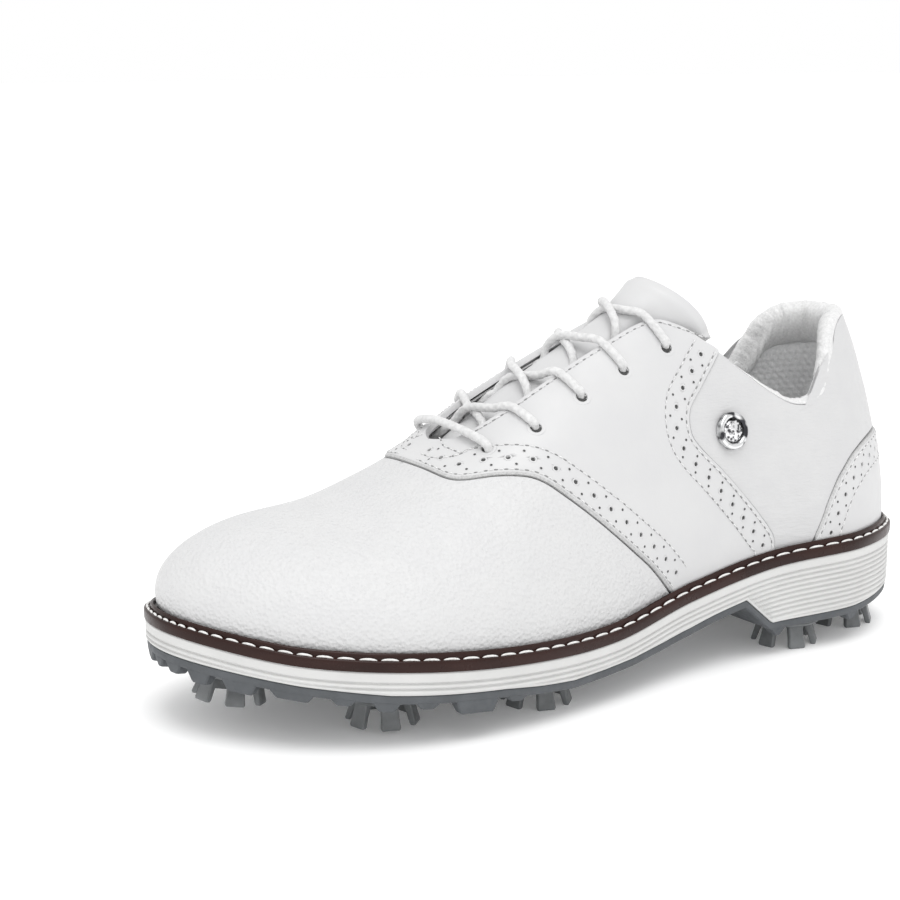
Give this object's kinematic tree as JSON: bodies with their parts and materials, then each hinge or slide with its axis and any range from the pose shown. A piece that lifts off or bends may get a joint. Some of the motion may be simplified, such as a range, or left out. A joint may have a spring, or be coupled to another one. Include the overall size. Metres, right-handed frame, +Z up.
{
  "type": "golf shoe",
  "caption": "Left lace-up golf shoe with a saddle upper, stitched storm welt, thick midsole and twist-lock soft cleats.",
  "frame": {"origin": "centre of the bounding box, on the ground under the cleats", "axes": "+X from heel to toe, +Y to the outer side of the left foot, +Z up"},
  "size_m": [0.304, 0.111, 0.1398],
  "materials": {
    "tumbled_leather": "soft pebbled grain",
    "smooth_leather": "smooth satin",
    "stiffener": "matte",
    "fibreboard": "matte",
    "lining_textile": "plain weave",
    "mesh_textile": "knitted mesh",
    "collar_textile": "crinkled textile",
    "foam": "open cell foam",
    "lace_textile": "woven",
    "clear_plastic": "gloss",
    "chrome": "polished",
    "spring_steel": "brushed",
    "brown_welt": "glossy",
    "thread": "twisted",
    "midsole_foam": "matte",
    "outsole_rubber": "matte",
    "cup_plastic": "matte",
    "cleat_plastic": "matte"
  },
  "bodies": {
    "shoe": {"vamp": "tumbled_leather", "quarter_lateral": "tumbled_leather", "quarter_medial": "tumbled_leather", "saddle_lateral": "smooth_leather", "saddle_medial": "smooth_leather", "heel_patch": "smooth_leather", "backstay": "smooth_leather", "toe_puff": "stiffener", "heel_counter": "stiffener", "insole_board": "fibreboard", "vamp_lining": "lining_textile", "facing_lining_lateral": "lining_textile", "facing_lining_medial": "lining_textile", "quarter_lining": "mesh_textile", "collar": "collar_textile", "sockliner": "foam", "lace": "lace_textile", "lace_tips": "clear_plastic", "badge": "chrome", "badge_washer": "chrome", "shank": "spring_steel", "welt": "brown_welt", "welt_stitching": "thread", "midsole": "midsole_foam", "outsole": "outsole_rubber", "receptacle_1": "cup_plastic", "receptacle_2": "cup_plastic", "receptacle_3": "cup_plastic", "receptacle_4": "cup_plastic", "receptacle_5": "cup_plastic", "receptacle_6": "cup_plastic", "receptacle_7": "cup_plastic", "receptacle_8": "cup_plastic", "receptacle_9": "cup_plastic"},
    "tongue_flap": {"tongue": "smooth_leather", "tongue_foam": "foam", "tongue_lining": "mesh_textile"},
    "body_cleat_1": {"cleat_1": "cleat_plastic"},
    "body_cleat_2": {"cleat_2": "cleat_plastic"},
    "body_cleat_3": {"cleat_3": "cleat_plastic"},
    "body_cleat_4": {"cleat_4": "cleat_plastic"},
    "body_cleat_5": {"cleat_5": "cleat_plastic"},
    "body_cleat_6": {"cleat_6": "cleat_plastic"},
    "body_cleat_7": {"cleat_7": "cleat_plastic"},
    "body_cleat_8": {"cleat_8": "cleat_plastic"},
    "body_cleat_9": {"cleat_9": "cleat_plastic"}
  },
  "joints": [
    {"name": "tongue_tilt", "type": "hinge", "parent": "shoe", "child": "tongue_flap", "pos_m": [0.049, -0.0065, 0.0755], "axis": [0, 1, 0], "range_deg": [-5, 0], "stiffness_Nm_per_rad": 0.5, "springref_deg": 5.73},
    {"name": "cleat_1_twist", "type": "hinge", "parent": "shoe", "child": "body_cleat_1", "pos_m": [0.127, -0.0045, 0.0195], "axis": [0.1564, 0, -0.9877], "range_deg": [0, 60]},
    {"name": "cleat_2_twist", "type": "hinge", "parent": "shoe", "child": "body_cleat_2", "pos_m": [0.086, 0.0235, 0.0124], "axis": [0, 0, -1], "range_deg": [0, 60]},
    {"name": "cleat_3_twist", "type": "hinge", "parent": "shoe", "child": "body_cleat_3", "pos_m": [0.086, -0.0285, 0.0124], "axis": [0, 0, -1], "range_deg": [0, 60]},
    {"name": "cleat_4_twist", "type": "hinge", "parent": "shoe", "child": "body_cleat_4", "pos_m": [0.028, 0.0295, 0.0105], "axis": [0, 0, -1], "range_deg": [0, 60]},
    {"name": "cleat_5_twist", "type": "hinge", "parent": "shoe", "child": "body_cleat_5", "pos_m": [0.028, -0.0255, 0.0105], "axis": [0, 0, -1], "range_deg": [0, 60]},
    {"name": "cleat_6_twist", "type": "hinge", "parent": "shoe", "child": "body_cleat_6", "pos_m": [-0.092, 0.0225, 0.0105], "axis": [0, 0, -1], "range_deg": [0, 60]},
    {"name": "cleat_7_twist", "type": "hinge", "parent": "shoe", "child": "body_cleat_7", "pos_m": [-0.092, -0.0235, 0.0105], "axis": [0, 0, -1], "range_deg": [0, 60]},
    {"name": "cleat_8_twist", "type": "hinge", "parent": "shoe", "child": "body_cleat_8", "pos_m": [-0.129, 0.0135, 0.0105], "axis": [0, 0, -1], "range_deg": [0, 60]},
    {"name": "cleat_9_twist", "type": "hinge", "parent": "shoe", "child": "body_cleat_9", "pos_m": [-0.129, -0.0155, 0.0105], "axis": [0, 0, -1], "range_deg": [0, 60]}
  ]
}
